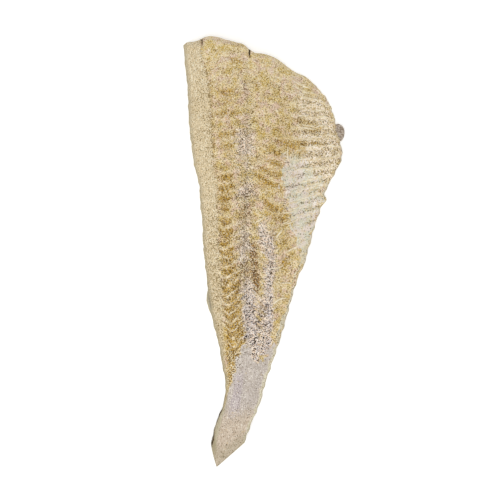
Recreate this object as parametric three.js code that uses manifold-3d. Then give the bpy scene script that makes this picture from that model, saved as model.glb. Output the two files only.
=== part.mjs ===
// Salted dried cod: one side of the fish, boned, salted hard and dried, with its skin on.
// It lies skin down with the flesh up, so the herringbone of the flakes shows.
// Millimetres. +Y runs to the head end, +X to the belly, +Z up. The origin is under the middle of the
// piece's box, on the surface that it lies on.
import * as THREE from "three";
import { mergeVertices } from "three/addons/utils/BufferGeometryUtils.js";
import Module from "manifold-3d";

// ---- Driving dimensions ----
const SHOULDER_Y = 231; // the corner where the head cut meets the back edge
const BACK_LENGTH = 444; // from that corner to the tail cut, along the back edge
const BELLY_DROP = 46; // how far the head cut falls from the back corner to the belly corner
const HEAD_ARCH = 22; // the head cut bows out past its own chord
const HEAD_ARCH_SKEW = 0.625; // below 1, the bow is fullest near the back
const HEAD_ARCH_END = 0.34; // the bow has faded out this share of the way along
const TAIL_POINT = 27; // the tail cut runs out to a point
const TAIL_POINT_AT = 0.17; // of the way from the back edge to the belly edge
const TAIL_POINT_START = 0.88;
const LOIN_THICKNESS = 27;
const THINNEST = 3.2;
const FLAKE_RELIEF = 1.5; // how far a flake's lip stands over the flake behind it
const FLAKE_LIP = 0.85; // where in its own width a flake is highest
const SEAM_DEPTH = 1.3; // the groove between back strip and loin
const MIDLINE_DEPTH = 1.6; // the groove where the backbone lay
const TAIL_CURL = 7; // drying lifts the thin tail off the surface
const FLAP_WAVE = 3.5; // and the thin belly flap, in waves
const UNEVENNESS = 0.7;

// The plan, as [share of the length from the head, back edge, midline, belly edge] in x.
const PLAN = [
  [0.0, -89.5, -16, 57.5],
  [0.05, -88, -16, 69.5],
  [0.1, -85.5, -16, 76.5],
  [0.2, -83.5, -16.5, 85],
  [0.25, -81, -17, 87],
  [0.3, -78, -17.5, 78.5],
  [0.35, -72.5, -18.5, 68.5],
  [0.4, -71, -19, 63],
  [0.45, -68.5, -19.5, 56],
  [0.5, -68, -20, 50.5],
  [0.6, -63, -19.5, 35.5],
  [0.7, -56.5, -17.5, 23],
  [0.75, -50.5, -17.5, 16.5],
  [0.8, -47, -18, 9],
  [0.85, -43, -20, 1.5],
  [0.9, -45, -25, -4.5],
  [0.95, -53.5, -34, -14],
  [1.0, -59, -43, -22],
];

// Five lines run the length of the fish.
const [SEAM, MIDLINE, RIB_LINE, BELLY_EDGE] = [1, 2, 3, 4]; // the back edge is line 0
const SEAM_SHARE = [0.27, 0.4]; // of the way from the back edge to the midline: at the head cut, farther on
const SEAM_SETTLES = 0.18;
const RIB_SHARE = 0.5; // of the way from the midline to the belly edge

// Flakes, as [how many lie nearer the head, share of the length that they take].
const FLAKE_PLACES = [
  [0, 0.0],
  [5, 0.124],
  [14, 0.34],
  [18, 0.453],
  [23, 0.572],
  [28, 0.683],
  [34, 0.8015],
  [45, 1.0],
];
// The flakes turn near each line, which makes their W. Rows are [share of the length, and for each bend how
// far it lies headward].
const FLAKE_BENDS = [0, 1.12, 2.05, 2.88, BELLY_EDGE];
const BEND_SHIFTS = [
  [0.0, 0, 0, 0, 0, 0],
  [0.1, 9, -3, 4, 8, 16],
  [0.2, 10, -3, 3.5, -2, 13],
  [0.3, 12, -4, 4, -11, 3],
  [0.4, 13, -5, 5, -13, 6],
  [0.5, 14, -6, 6, -6, 15],
  [0.6, 16, -8, 8, -6, 8],
  [0.7, 17, -9, 9, -3, 6],
  [0.8, 13, -7, 7, -1.5, 2.5],
  [1.0, 0, 0, 0, 0, 0],
];

// Thickness along the fish, and across it from line to line, as shares of LOIN_THICKNESS.
const THICKNESS_ALONG = [
  [0.0, 0.74],
  [0.08, 0.9],
  [0.22, 1.0],
  [0.4, 0.93],
  [0.58, 0.76],
  [0.72, 0.56],
  [0.85, 0.34],
  [1.0, 0.2],
];
const THICKNESS_ACROSS = [
  [0.0, 0.3],
  [0.45, 0.66],
  [1.0, 0.93],
  [1.5, 1.0],
  [2.0, 0.87],
  [2.5, 0.84],
  [3.0, 0.6],
  [3.5, 0.36],
  [4.0, 0.24],
];

// Lobes of the torn belly edge and of the head cut: [share of the length or width, reach, half width].
const BELLY_LOBES = [
  [0.375, 4.0, 0.012],
  [0.545, 2.2, 0.014],
];
const HEAD_LOBES = [
  [0.09, -5.6, 0.075],
  [0.31, -0.9, 0.07],
  [0.45, 1.2, 0.03],
  [0.53, -2.9, 0.045],
  [0.705, 4.3, 0.11],
  [0.915, 3.6, 0.06],
];

// Edges: how far in from each rim the flesh rounds over, and how much of its height the rim itself has.
const ROUND_HEAD = 8;
const ROUND_SIDE = 6;
const RIM_SHARE = 0.45;
const SKIN_TURN = 2.2; // the skin turns in under the rim by this much
const SKIN_RISE = 1.4;

// Cracks that drying opened in the head cut, at a line: length down the fish, width, height of the floor.
const CRACKS = [
  { line: MIDLINE, length: 26, mouth: 4.2, floor: 2.5 },
  { line: SEAM, length: 24, mouth: 2.4, floor: 10 },
];
const CRACK_START = 6; // each wedge starts this far outside the head cut
// Dried scraps that stick out at an edge, as flattened lumps: the stub of a fin, and a fold of skin.
const SCRAPS = [
  { line: BELLY_EDGE, along: 0.172, out: 0.5, size: [14, 20, 5.5], height: 3.6 },
  { line: 0, along: 0.645, out: 1.2, size: [8, 27, 2.4], height: 2.6 },
];

// ---- Helpers ----
const clamp01 = (x) => Math.min(1, Math.max(0, x));
const mix = (a, b, share) => a + (b - a) * share;
const smoothstep = (low, high, x) => {
  const t = clamp01((x - low) / (high - low));
  return t * t * (3 - 2 * t);
};
const bell = (x, centre, half) => Math.exp(-(((x - centre) / half) ** 2));
const lobes = (list, at) =>
  list.reduce((sum, [centre, reach, half]) => sum + reach * bell(at, centre, half), 0);

// A smooth curve through the rows of a table, read at its first column; column says which value.
function through(table, at, column = 1) {
  const last = table.length - 1;
  let i = 0;
  while (i < last - 1 && at > table[i + 1][0]) i += 1;
  const slope = (k) => {
    const a = table[Math.max(k - 1, 0)];
    const b = table[Math.min(k + 1, last)];
    return (b[column] - a[column]) / (b[0] - a[0]);
  };
  const span = table[i + 1][0] - table[i][0];
  const t = clamp01((at - table[i][0]) / span);
  const [p, q] = [table[i][column], table[i + 1][column]];
  const [m, n] = [slope(i) * span, slope(i + 1) * span];
  return (
    (2 * t ** 3 - 3 * t ** 2 + 1) * p +
    (t ** 3 - 2 * t ** 2 + t) * m +
    (3 * t ** 2 - 2 * t ** 3) * q +
    (t ** 3 - t ** 2) * n
  );
}

// A gentle unevenness between about -1 and 1, the same at every run.
const uneven = (x, y, size) => {
  const [u, v] = [(2 * Math.PI * x) / size, (2 * Math.PI * y) / size];
  return (
    0.5 * Math.sin(u + 0.7 * Math.sin(0.6 * v + 1.1)) * Math.cos(0.9 * v - 0.4) +
    0.3 * Math.sin(1.9 * v - 1.3 * u + 2.0) +
    0.2 * Math.sin(3.1 * u + 1.7 * v + 0.5)
  );
};

// ---- The plan ----
// x of one of the five lines, along from 0 at the head to 1 at the tail.
function lineX(line, along) {
  const [back, middle, belly] = [1, 2, 3].map((column) => through(PLAN, along, column));
  const fray = 0.5 * Math.sin(along * 171) + 0.35 * Math.sin(along * 293 + 1);
  if (line === SEAM) return mix(back, middle, mix(...SEAM_SHARE, smoothstep(0, SEAM_SETTLES, along)));
  if (line === MIDLINE) return middle;
  if (line === RIB_LINE) return mix(middle, belly, RIB_SHARE);
  if (line === BELLY_EDGE) return belly + fray + lobes(BELLY_LOBES, along);
  return back - 0.5 * fray;
}

// The place that lies across from line 0 to line 4, and along from the head; share is its share of the width.
function planAt(across, along) {
  const line = Math.min(BELLY_EDGE - 1, Math.floor(across));
  const x = mix(lineX(line, along), lineX(line + 1, along), across - line);
  const [back, belly] = [lineX(0, along), lineX(BELLY_EDGE, along)];
  const share = clamp01((x - back) / (belly - back));
  const bow = HEAD_ARCH * Math.sin(Math.PI * share ** HEAD_ARCH_SKEW) + lobes(HEAD_LOBES, share);
  const beforePoint = (share / TAIL_POINT_AT) ** 0.7;
  const afterPoint = (1 - share) / (1 - TAIL_POINT_AT);
  const y =
    SHOULDER_Y -
    BACK_LENGTH * along -
    BELLY_DROP * share * (1 - along) ** 4 +
    bow * (1 - smoothstep(0, HEAD_ARCH_END, along)) -
    TAIL_POINT * Math.min(beforePoint, afterPoint) * smoothstep(TAIL_POINT_START, 1, along);
  return { x, y, share, width: belly - back };
}

// The W of the flakes: how far along the fish a place lies that its flake passes at rowAlong.
function alongInFlake(across, rowAlong) {
  let bend = 0;
  while (bend < FLAKE_BENDS.length - 2 && across > FLAKE_BENDS[bend + 1]) bend += 1;
  const t = (across - FLAKE_BENDS[bend]) / (FLAKE_BENDS[bend + 1] - FLAKE_BENDS[bend]);
  const softened = mix(t, smoothstep(0, 1, t), 0.5);
  const [before, after] = [bend + 1, bend + 2].map((column) => through(BEND_SHIFTS, rowAlong, column));
  return clamp01(rowAlong - mix(before, after, softened) / BACK_LENGTH);
}

// ---- Heights ----
const roundOver = (distance, radius) => Math.sqrt(1 - (1 - clamp01(distance / radius)) ** 2);

// How high drying has lifted the skin off the surface.
function liftAt(across, along) {
  const tail = TAIL_CURL * smoothstep(0.8, 1.02, along) ** 1.5;
  const wave = 0.5 + 0.5 * Math.sin(along * 27 + 0.8);
  const flap = FLAP_WAVE * smoothstep(3.2, 4, across) * smoothstep(0.04, 0.14, along) * wave;
  return tail + flap * (1 - smoothstep(0.7, 0.85, along));
}

const thicknessAt = (across, along) =>
  Math.max(THINNEST, LOIN_THICKNESS * through(THICKNESS_ALONG, along) * through(THICKNESS_ACROSS, across));

// How strongly the flakes stand out: not on the smooth back strip or tail, and less on the belly.
function flakeStrength(across, along) {
  const byWidth = smoothstep(0.55, SEAM, across) * mix(1, 0.5, smoothstep(MIDLINE, 3.2, across));
  const byLength = mix(0.45, 1, smoothstep(0.08, 0.3, along)) * (1 - smoothstep(0.7, 0.79, along));
  return byWidth * byLength * (1 - 0.45 * bell(across, MIDLINE, 0.12));
}

// The height of a flake through its own width: it climbs slowly to its lip and drops behind it.
const flakeRise = (share) => (share < FLAKE_LIP ? (share / FLAKE_LIP) ** 0.8 : (1 - share) / (1 - FLAKE_LIP));

// A point of the flesh, in a row that lies along the fish and at a share of its flake's width.
function fleshPoint(across, row) {
  const along = alongInFlake(across, row.along);
  const { x, y, share, width } = planAt(across, along);
  const rim = Math.min(
    roundOver(along * BACK_LENGTH, ROUND_HEAD),
    roundOver((1 - along) * BACK_LENGTH, ROUND_SIDE),
    roundOver(share * width, ROUND_SIDE),
    roundOver((1 - share) * width, ROUND_SIDE),
  );
  const grooves = SEAM_DEPTH * bell(across, SEAM, 0.1) + MIDLINE_DEPTH * bell(across, MIDLINE, 0.08);
  const relief = FLAKE_RELIEF * (flakeRise(row.share) - 0.5) * flakeStrength(across, along);
  const body =
    thicknessAt(across, along) -
    grooves * (1 - smoothstep(0.72, 0.8, along)) +
    relief * (1 + 0.3 * uneven(x, y, 31)) +
    UNEVENNESS * uneven(x, y, 46);
  return new THREE.Vector3(x, y, liftAt(across, along) + body * mix(RIM_SHARE, 1, rim));
}

// A point of the skin's edge, where it turns in under the flesh.
function footPoint(across, rowAlong) {
  const along = alongInFlake(across, rowAlong);
  const { x, y } = planAt(across, along);
  return new THREE.Vector3(x, y, liftAt(across, along) + SKIN_RISE);
}

// A point of the skin's underside, drawn in from the rim.
function skinPoint(across, along) {
  const { width } = planAt(across, along);
  const inAcross = mix(SKIN_TURN / width, 1 - SKIN_TURN / width, across / BELLY_EDGE) * BELLY_EDGE;
  const inAlong = mix(SKIN_TURN / BACK_LENGTH, 1 - SKIN_TURN / BACK_LENGTH, along);
  const { x, y } = planAt(inAcross, inAlong);
  return new THREE.Vector3(x, y, liftAt(inAcross, inAlong));
}

// ---- The mesh ----
// Columns of the flesh across the lines: closer together at the rims and at the grooves.
const COLUMNS = [
  ...[0, 0.04, 0.12, 0.25, 0.45, 0.7, 0.9],
  ...[1, 1.12, 1.35, 1.6, 1.82, 1.94],
  ...[2, 2.05, 2.22, 2.45, 2.7, 2.88],
  ...[3, 3.15, 3.35, 3.55, 3.74, 3.88, 3.96, 4],
];
const HEAD_ROWS = [0, 0.004, 0.01, 0.02];
const TAIL_ROWS = [0.82, 0.845, 0.87, 0.9, 0.925, 0.945, 0.96, 0.975, 0.985, 0.993, 1];
const ROWS_IN_FLAKE = [0, 0.35, 0.7, 0.88];
const LAST_FLAKE = 33;
const SKIN_COLUMNS = 8;
const SKIN_ROWS = 34;

// Rows of the flesh: each lies along the fish and at a share of its flake's width.
function fleshRows() {
  const rows = HEAD_ROWS.map((along) => ({ along, share: 0.2 }));
  for (let flake = 1; flake <= LAST_FLAKE; flake += 1)
    for (const share of ROWS_IN_FLAKE) rows.push({ along: through(FLAKE_PLACES, flake + share), share });
  return [...rows, ...TAIL_ROWS.map((along) => ({ along, share: 0.5 }))];
}

// A mesh that is filled point by point.
class Shell {
  positions = [];
  faces = [];

  point(v) {
    this.positions.push(v.x, v.y, v.z);
    return this.positions.length / 3 - 1;
  }

  // A grid of points, as rows of indices.
  grid(rows, columns, at) {
    return rows.map((row) => columns.map((column) => this.point(at(column, row))));
  }

  // Two triangles for each cell of a grid; up says which way they face.
  cover(grid, up) {
    for (let i = 0; i + 1 < grid.length; i += 1)
      for (let j = 0; j + 1 < grid[i].length; j += 1) {
        const [a, b, c, d] = [grid[i][j], grid[i][j + 1], grid[i + 1][j + 1], grid[i + 1][j]];
        const cell = [a, c, b, a, d, c];
        this.faces.push(...(up ? cell : cell.reverse()));
      }
  }

  // Joins two rings of {index, at}, whose at runs from 0 to 1, stepping on whichever is behind.
  zip(upper, lower) {
    const index = (ring, k) => ring[k % ring.length].index;
    const next = (ring, k) => (k + 1 < ring.length ? ring[k + 1].at : 1);
    let [i, j] = [0, 0];
    while (i < upper.length || j < lower.length) {
      const stepUpper = j >= lower.length || (i < upper.length && next(upper, i) <= next(lower, j));
      const apex = stepUpper ? index(upper, i + 1) : index(lower, j + 1);
      this.faces.push(index(lower, j), index(upper, i), apex);
      if (stepUpper) i += 1;
      else j += 1;
    }
  }

  geometry() {
    const made = new THREE.BufferGeometry();
    made.setAttribute("position", new THREE.Float32BufferAttribute(this.positions, 3));
    made.setIndex(this.faces);
    return made;
  }
}

// The rim of a grid as a ring: along the head cut, down the belly, along the tail cut and up the back. Its
// corners lie at 0, 1/4, 1/2 and 3/4 of the way round.
function rimOf(grid, rowAlong, columnAcross) {
  const [lastRow, lastColumn] = [grid.length - 1, grid[0].length - 1];
  const widthShare = columnAcross.map((across) => across / BELLY_EDGE);
  const ring = [];
  for (let j = 0; j < lastColumn; j += 1) ring.push([0, j, widthShare[j]]);
  for (let i = 0; i < lastRow; i += 1) ring.push([i, lastColumn, 1 + rowAlong[i]]);
  for (let j = lastColumn; j > 0; j -= 1) ring.push([lastRow, j, 3 - widthShare[j]]);
  for (let i = lastRow; i > 0; i -= 1) ring.push([i, 0, 4 - rowAlong[i]]);
  return ring.map(([i, j, quarters]) => ({ index: grid[i][j], i, j, at: quarters / 4 }));
}

function filletGeometry() {
  const shell = new Shell();
  const rows = fleshRows();
  const flesh = shell.grid(rows, COLUMNS, fleshPoint);
  shell.cover(flesh, true);

  const shoulder = rimOf(flesh, rows.map((row) => row.along), COLUMNS);
  const footAt = (i, j) => shell.point(footPoint(COLUMNS[j], rows[i].along));
  const foot = shoulder.map(({ i, j, at }) => ({ index: footAt(i, j), at }));
  shell.zip(shoulder, foot);

  const skinRows = Array.from({ length: SKIN_ROWS + 1 }, (_, k) => k / SKIN_ROWS);
  const skinColumns = Array.from({ length: SKIN_COLUMNS + 1 }, (_, k) => (k * BELLY_EDGE) / SKIN_COLUMNS);
  const skin = shell.grid(skinRows, skinColumns, skinPoint);
  shell.cover(skin, false);
  shell.zip(foot, rimOf(skin, skinRows, skinColumns));
  return shell.geometry();
}

// ---- Cracks and scraps ----
// A wedge that is widest outside the head cut and closes down the fish.
function crackGeometry({ line, length, mouth, floor }) {
  const start = planAt(line, 0);
  const end = planAt(line, length / BACK_LENGTH);
  const outline = new THREE.Shape([
    new THREE.Vector2(start.x - mouth / 2, start.y + CRACK_START),
    new THREE.Vector2(end.x, end.y),
    new THREE.Vector2(start.x + mouth / 2, start.y + CRACK_START),
  ]);
  const wedge = new THREE.ExtrudeGeometry(outline, { depth: LOIN_THICKNESS * 2, bevelEnabled: false });
  return wedge.translate(0, 0, floor);
}

function scrapGeometry({ line, along, out, size, height }) {
  const { x, y } = planAt(line, along);
  const lump = new THREE.SphereGeometry(0.5, 16, 10);
  lump.scale(...size);
  return lump.translate(x + out, y, height);
}

const wasm = await Module();
wasm.setup();

function solidOf(geometry) {
  const bare = geometry.clone();
  for (const name of ["normal", "uv"]) bare.deleteAttribute(name);
  const merged = mergeVertices(bare, 1e-4);
  const vertProperties = merged.attributes.position.array;
  return new wasm.Manifold(
    new wasm.Mesh({ numProp: 3, vertProperties, triVerts: new Uint32Array(merged.index.array) }),
  );
}

function codGeometry() {
  let solid = solidOf(filletGeometry());
  for (const crack of CRACKS) solid = solid.subtract(solidOf(crackGeometry(crack)));
  for (const scrap of SCRAPS) solid = solid.add(solidOf(scrapGeometry(scrap)));
  const mesh = solid.getMesh();
  const made = new THREE.BufferGeometry();
  made.setAttribute("position", new THREE.BufferAttribute(mesh.vertProperties, 3));
  made.setIndex(new THREE.BufferAttribute(mesh.triVerts, 1));
  return made;
}

// ---- The part ----
const driedFlesh = new THREE.MeshStandardMaterial({ color: 0xcbb58d, roughness: 0.72, metalness: 0 });

const cod = new THREE.Mesh(codGeometry(), driedFlesh);
cod.name = "cod_side";
cod.geometry.computeVertexNormals();
cod.geometry.computeBoundingBox();
const { min, max } = cod.geometry.boundingBox;
cod.position.set(-(min.x + max.x) / 2, -(min.y + max.y) / 2, -min.z);

const part = new THREE.Group();
part.add(cod);

export default part;
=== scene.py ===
"""Salted dried cod: one side of the fish, lying skin down with the flesh up.

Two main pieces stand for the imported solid: the dried flesh, with its flakes, fibres and salt crust as real
relief, and the scaled skin under it, whose edge shows all round. A fin stub, torn strands of membrane and
loose salt lie on them. Lengths are millimetres in the fish's own plan until a mesh is filled, in metres.
"""
import math
from types import SimpleNamespace

import bpy
import numpy as np
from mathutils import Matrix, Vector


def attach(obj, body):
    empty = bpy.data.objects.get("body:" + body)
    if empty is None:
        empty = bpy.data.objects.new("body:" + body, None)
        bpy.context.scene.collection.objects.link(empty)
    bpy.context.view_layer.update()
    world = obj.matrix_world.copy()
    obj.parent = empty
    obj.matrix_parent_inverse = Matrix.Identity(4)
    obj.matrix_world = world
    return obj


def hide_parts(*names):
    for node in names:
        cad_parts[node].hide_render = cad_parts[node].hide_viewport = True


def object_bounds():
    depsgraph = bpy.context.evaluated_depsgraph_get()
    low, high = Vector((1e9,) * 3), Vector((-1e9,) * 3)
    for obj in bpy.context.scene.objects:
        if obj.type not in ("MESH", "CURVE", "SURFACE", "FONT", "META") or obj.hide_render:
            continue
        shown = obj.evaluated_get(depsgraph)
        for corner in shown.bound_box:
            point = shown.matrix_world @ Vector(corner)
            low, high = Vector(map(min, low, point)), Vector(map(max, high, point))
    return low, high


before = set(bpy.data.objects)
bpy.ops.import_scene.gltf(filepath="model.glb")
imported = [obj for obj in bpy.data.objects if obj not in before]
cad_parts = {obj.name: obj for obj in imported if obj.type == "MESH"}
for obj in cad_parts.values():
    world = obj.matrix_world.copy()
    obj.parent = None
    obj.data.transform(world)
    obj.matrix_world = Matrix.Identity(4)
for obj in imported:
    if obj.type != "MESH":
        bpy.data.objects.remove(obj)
CAD_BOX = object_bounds()
MM = 0.001

# ---- The fish's plan and thickness: the solid's, but for lower flakes and narrower cracks ----
SHOULDER_Y = 231  # where the head cut meets the back edge
BACK_LENGTH = 444
BELLY_DROP = 46  # how far the head cut falls from the back corner to the belly corner
HEAD_ARCH, HEAD_ARCH_SKEW, HEAD_ARCH_END = 22, 0.625, 0.34
TAIL_POINT, TAIL_POINT_AT, TAIL_POINT_START = 27, 0.17, 0.88
LOIN_THICKNESS, THINNEST = 27, 3.2
FLAKE_RELIEF, FLAKE_LIP = 1.1, 0.78
SEAM_DEPTH, MIDLINE_DEPTH = 1.3, 1.6
TAIL_CURL, FLAP_WAVE, UNEVENNESS = 7, 3.5, 0.7
ROUND_HEAD, ROUND_SIDE, RIM_SHARE = 8, 6, 0.45

# [share of the length from the head, back edge, midline, belly edge] in x
PLAN = [
    [0.0, -89.5, -16, 57.5],
    [0.05, -88, -16, 69.5],
    [0.1, -85.5, -16, 76.5],
    [0.2, -83.5, -16.5, 85],
    [0.25, -81, -17, 87],
    [0.3, -78, -17.5, 78.5],
    [0.35, -72.5, -18.5, 68.5],
    [0.4, -71, -19, 63],
    [0.45, -68.5, -19.5, 56],
    [0.5, -68, -20, 50.5],
    [0.6, -63, -19.5, 35.5],
    [0.7, -56.5, -17.5, 23],
    [0.75, -50.5, -17.5, 16.5],
    [0.8, -47, -18, 9],
    [0.85, -43, -20, 1.5],
    [0.9, -45, -25, -4.5],
    [0.95, -53.5, -34, -14],
    [1.0, -59, -43, -22],
]
# Five lines run the length of the fish: back edge 0, seam, midline, rib line 3, belly edge.
SEAM, MIDLINE, BELLY_EDGE = 1, 2, 4
SEAM_SHARE, SEAM_SETTLES, RIB_SHARE = (0.27, 0.4), 0.18, 0.5

# Flakes: [how many lie nearer the head, share of the length that they take].
FLAKE_PLACES = [
    [0, 0.0], [5, 0.124], [14, 0.34], [18, 0.453], [23, 0.572], [28, 0.683], [34, 0.8015], [45, 1.0],
]
# Where across the fish the flakes turn, and [share of the length, how far each bend lies headward].
FLAKE_BENDS = np.array([0, 1.12, 2.05, 2.88, BELLY_EDGE])
BEND_SHIFTS = [
    [0.0, 0, 0, 0, 0, 0],
    [0.1, 9, -3, 4, 8, 16],
    [0.2, 10, -3, 3.5, -2, 13],
    [0.3, 12, -4, 4, -11, 3],
    [0.4, 13, -5, 5, -13, 6],
    [0.5, 14, -6, 6, -6, 15],
    [0.6, 16, -8, 8, -6, 8],
    [0.7, 17, -9, 9, -3, 6],
    [0.8, 13, -7, 7, -1.5, 2.5],
    [1.0, 0, 0, 0, 0, 0],
]
THICKNESS_ALONG = [
    [0.0, 0.74], [0.08, 0.9], [0.22, 1.0], [0.4, 0.93],
    [0.58, 0.76], [0.72, 0.56], [0.85, 0.34], [1.0, 0.2],
]
THICKNESS_ACROSS = [
    [0.0, 0.3], [0.45, 0.66], [1.0, 0.93], [1.5, 1.0], [2.0, 0.87],
    [2.5, 0.84], [3.0, 0.6], [3.5, 0.36], [4.0, 0.24],
]
BELLY_LOBES = [[0.375, 4.0, 0.012], [0.545, 2.2, 0.014]]
HEAD_LOBES = [
    [0.09, -5.6, 0.075],
    [0.31, -0.9, 0.07],
    [0.45, 1.2, 0.03],
    [0.53, -2.9, 0.045],
    [0.705, 4.3, 0.11],
    [0.915, 3.6, 0.06],
]
# Cracks in the head cut: [line, length down the fish, half mouth, height of the floor].
CRACKS = [[MIDLINE, 17, 0.55, 2.5], [SEAM, 9, 0.35, 6]]

# ---- What the solid leaves to this script ----
FLESH_COLUMNS = (28, 46, 52, 42)  # cells between one line and the next
FLESH_ROWS = 515
FLESH_LAYERS = 4  # rings of cells down the flesh's side
FLESH_INSET = 0.6  # the flesh shrank back this far from the outline
UNDER_FLESH = 0.9  # how high the flesh's underside lies, just inside the skin
HIDDEN_FACES_KEPT = 0.03
CRACK_REACH, CRACK_WANDER = 7, 0.35  # flesh within this distance of a crack is pushed aside by it
SKIN_COLUMNS, SKIN_ROWS = 56, 190
SKIN_THICKNESS, SKIN_OUTSET = 1.1, 0.1
SKIN_RIM_SHARE, SKIN_RISE = 0.01375, 1.4  # the skin's rim is turned up, over this share of its width
SKIN_FOLDS = [[0.645, 3.6, 0.026]]  # where the skin sticks out at the back edge
SCALE_SIZE = (2.0, 2.8, 2.0)

# Fine relief: the most by which each changes the flesh's height.
FIBRES, CRUMBS, SMALL_CRUMBS, LIP_CRUMBS, WRINKLES = 0.22, 0.3, 0.2, 0.4, 0.16
CRUST_HEIGHT, CRUST_CRUMBS, PIT_DEPTH = 0.35, 0.45, 0.7

# Shares of the fish's length between which something changes.
REAR = (0.48, 0.58)  # behind this the hollows are gold throughout and the lips thin
MARKS_GROW, MARKS_FULL_TO, MARKS_END = (0.2, 0.6), 0.74, (0.82, 0.88)  # the flakes' light and dark bands
MARGIN_STARTS = (0.4, 0.5)
GROOVES_END = (0.72, 0.8)
SALT_EVENS = (0.5, 0.64)  # patchy salt turns into a whole crust
PALE_EDGE_STARTS = (0.28, 0.36)
TIP_STARTS = (0.86, 0.97)
# How close together the flesh's rows lie, at shares of its length.
ROW_DENSITY = [[0, 1.3], [0.02, 0.95], [0.4, 1.1], [0.7, 1.3], [0.8, 1.1], [0.98, 0.85], [1, 1.2]]
# Where the torn edge of the tail is dark: shares of the length, and how dark.
TAIL_DASHES = ([0.914, 0.918, 0.932, 0.936, 0.962, 0.97, 1], [0, 1, 1, 0, 0, 1, 1])
# How strongly the flakes' bands show across the fish: places, and strengths.
MARKS_ACROSS = ([1.95, 2.15, 2.8, 3.1], [1, 0.5, 0.6, 2.2])

# Where each finish lies, as [along, from across, to across, strength].
STRIP = [
    [0.0, -1, 0.98, 1.0], [0.6, -1, 0.94, 1.0], [0.68, -1, 0.82, 1.0], [0.755, -1, 0.45, 1.0],
    [0.82, -1, 0.28, 1.0], [0.88, -1, 0.12, 0.8], [0.92, -1, 0.0, 0.0],
]
SALT_BAND = [
    [0.12, 1.8, 2.1, 0.0], [0.19, 1.75, 2.12, 0.3], [0.24, 1.6, 2.15, 0.65], [0.29, 1.6, 2.15, 0.65],
    [0.32, 1.62, 2.18, 0.45], [0.37, 1.55, 2.24, 0.65], [0.42, 1.6, 2.2, 0.2], [0.45, 1.62, 2.2, 0.35],
    [0.48, 1.65, 2.18, 0.8], [0.54, 1.68, 2.16, 0.65], [0.57, 1.74, 2.18, 0.3], [0.6, 1.78, 2.3, 0.8],
    [0.64, 1.78, 2.4, 1.0], [0.74, 1.78, 2.7, 1.0], [0.8, 1.78, 3.0, 1.0],
]
# Between the two streams the salt lies on the lips of the flakes only.
SALT_HATCH = [
    [0.6, 2.5, 2.8, 0.0], [0.64, 2.4, 2.95, 0.7], [0.7, 2.3, 3.2, 0.95], [0.78, 2.3, 3.5, 0.9],
]
# The tail's thin sheet is lilac where the flesh under it ends.
LILAC = [
    [0.79, 1.2, 1.9, 0.0], [0.84, 1.0, 1.8, 0.7], [0.9, 0.8, 1.9, 0.8], [0.93, 0.8, 2.4, 0.5],
    [0.96, 1.0, 2.6, 0.0],
]
SALT_STREAM = [
    [0.4, 2.35, 2.6, 0.0], [0.45, 2.35, 2.78, 0.8], [0.51, 2.58, 2.98, 1.0], [0.615, 2.72, 3.18, 1.0],
    [0.715, 2.88, 3.42, 1.0], [0.78, 2.8, 3.7, 1.0],
]
SILVER = [
    [0.22, 2.75, 3.0, 0.0], [0.27, 2.74, 3.3, 0.6], [0.314, 2.78, 3.75, 1.0], [0.38, 3.05, 3.95, 1.0],
    [0.445, 3.3, 4.0, 1.0], [0.5, 3.7, 4.0, 0.9], [0.54, 3.85, 4.0, 0.5], [0.57, 3.9, 4.0, 0.0],
]
GOLD_LOIN = [
    [0.07, 1.05, 1.8, 0.2], [0.12, 1.05, 1.8, 0.5], [0.2, 1.05, 1.76, 0.75], [0.3, 1.02, 1.6, 0.6],
    [0.4, 0.98, 1.46, 0.85], [0.5, 1.0, 1.54, 0.9], [0.6, 1.0, 1.72, 1.0], [0.7, 0.9, 1.82, 1.0],
    [0.77, 0.5, 1.85, 0.9], [0.82, 0.35, 1.2, 0.75], [0.86, 0.2, 0.6, 0.75], [0.9, 0.1, 0.2, 0.0],
]
GOLD_BELLY = [
    [0.1, 2.5, 3.7, 0.25], [0.22, 2.4, 3.5, 0.4], [0.3, 2.17, 2.86, 0.75], [0.38, 2.2, 3.05, 0.7],
    [0.45, 2.75, 3.3, 0.55], [0.52, 3.02, 3.7, 0.5], [0.61, 3.25, 3.95, 0.4], [0.7, 3.5, 4.0, 0.35],
    [0.76, 3.8, 4.0, 0.0],
]
# Where the midline is bare of salt, the flesh beside it is brown.
BROWN = [
    [0.36, 1.7, 2.2, 0.0], [0.4, 1.66, 2.2, 0.7], [0.5, 1.69, 2.2, 0.75], [0.58, 1.72, 2.2, 1.0],
    [0.62, 1.75, 2.1, 0.0],
]
AMBER = [
    [0.47, 2.12, 2.3, 0.0], [0.51, 2.12, 2.36, 1.0], [0.56, 2.16, 2.44, 1.0], [0.61, 2.28, 2.56, 1.0],
    [0.65, 2.4, 2.6, 0.0],
]
RIB_MEMBRANE = [
    [0.05, 3.2, 4.0, 0.0], [0.09, 3.1, 4.0, 0.8], [0.2, 3.05, 4.0, 1.0], [0.3, 3.3, 4.0, 1.0],
    [0.4, 3.7, 4.0, 0.8], [0.45, 3.8, 4.0, 0.0],
]
# Single blotches: [across, along, half width across, half length along, strength].
GOLD_SPOTS = [
    [1.68, 0.056, 0.17, 0.009, 0.9], [2.18, 0.11, 0.06, 0.008, 0.9], [3.34, 0.542, 0.08, 0.01, 0.8],
    [3.42, 0.176, 0.22, 0.012, 1.1], [3.08, 0.234, 0.14, 0.011, 0.8], [3.5, 0.222, 0.2, 0.008, 0.7],
]
AMBER_SPOTS = [[1.82, 0.568, 0.12, 0.022, 0.6]]
LILAC_SPOTS = [
    [1.85, 0.11, 0.2, 0.018, 0.5], [2.89, 0.279, 0.07, 0.012, 0.7], [2.88, 0.315, 0.06, 0.01, 0.6],
    [3.02, 0.38, 0.05, 0.028, 0.6],
]
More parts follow.
